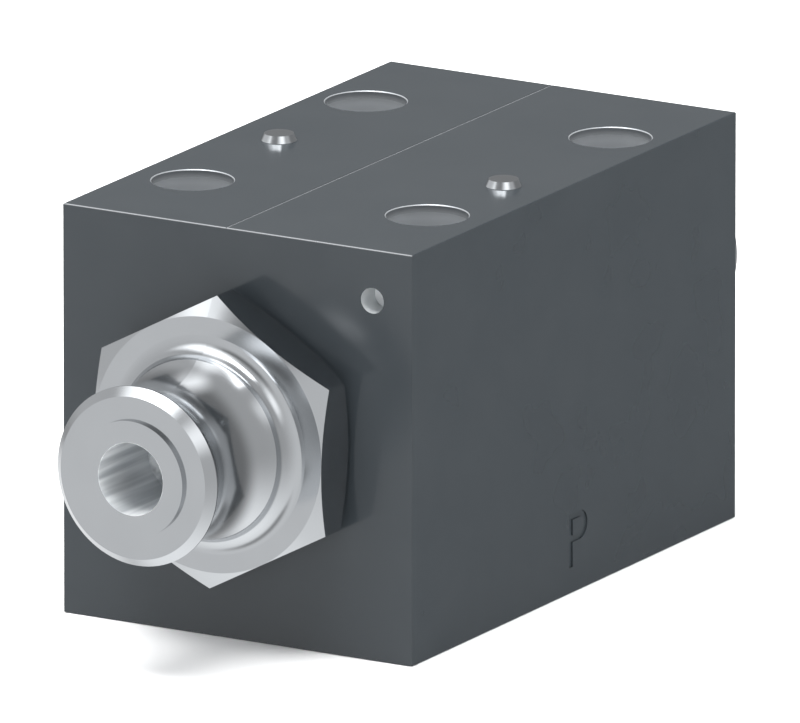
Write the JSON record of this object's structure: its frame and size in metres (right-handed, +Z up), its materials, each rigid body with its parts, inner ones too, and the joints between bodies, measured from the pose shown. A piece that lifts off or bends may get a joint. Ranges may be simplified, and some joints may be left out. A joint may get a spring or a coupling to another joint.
{
  "type": "directional control valve",
  "caption": "Pilot operated directional spool valve: a dark steel block with a bolt-down port face and a waisted hexagon pilot cap at each end.",
  "frame": {"origin": "middle of the port face that bolts to the manifold, at the block's centre", "axes": "+Y along the spool towards the rear pilot cap, +X towards the P port side, +Z up out of the port face"},
  "size_m": [0.046, 0.1216, 0.0492],
  "materials": {
    "block": "dark grey, semi-gloss",
    "plated_steel": "bright zinc plated, turned",
    "ground_steel": "ground bright",
    "spring_steel": "drawn wire",
    "orifice_brass": "turned",
    "seal_rubber": "matt black"
  },
  "bodies": {
    "housing": {"valve_body": "block", "front_pilot_cap": "plated_steel", "rear_pilot_cap": "plated_steel", "front_cap_seal": "seal_rubber", "rear_cap_seal": "seal_rubber", "front_pilot_orifice": "orifice_brass", "rear_pilot_orifice": "orifice_brass", "front_stop_sleeve": "ground_steel", "rear_stop_sleeve": "ground_steel", "front_centring_spring": "spring_steel", "rear_centring_spring": "spring_steel", "port_p_seal": "seal_rubber", "port_t_seal": "seal_rubber", "port_a_seal": "seal_rubber", "port_b_seal": "seal_rubber", "left_locating_pin": "ground_steel", "right_locating_pin": "ground_steel", "drilling_plug": "ground_steel"},
    "spool": {"spool": "ground_steel", "front_spring_disc": "ground_steel", "rear_spring_disc": "ground_steel", "front_disc_clip": "spring_steel", "rear_disc_clip": "spring_steel"}
  },
  "joints": [
    {"name": "spool_slide", "type": "slide", "parent": "housing", "child": "spool", "axis": [0, 1, 0], "range_m": [-0.0025, 0.0025], "stiffness_N_per_m": 12000, "deforming": ["front_centring_spring", "rear_centring_spring"]}
  ]
}
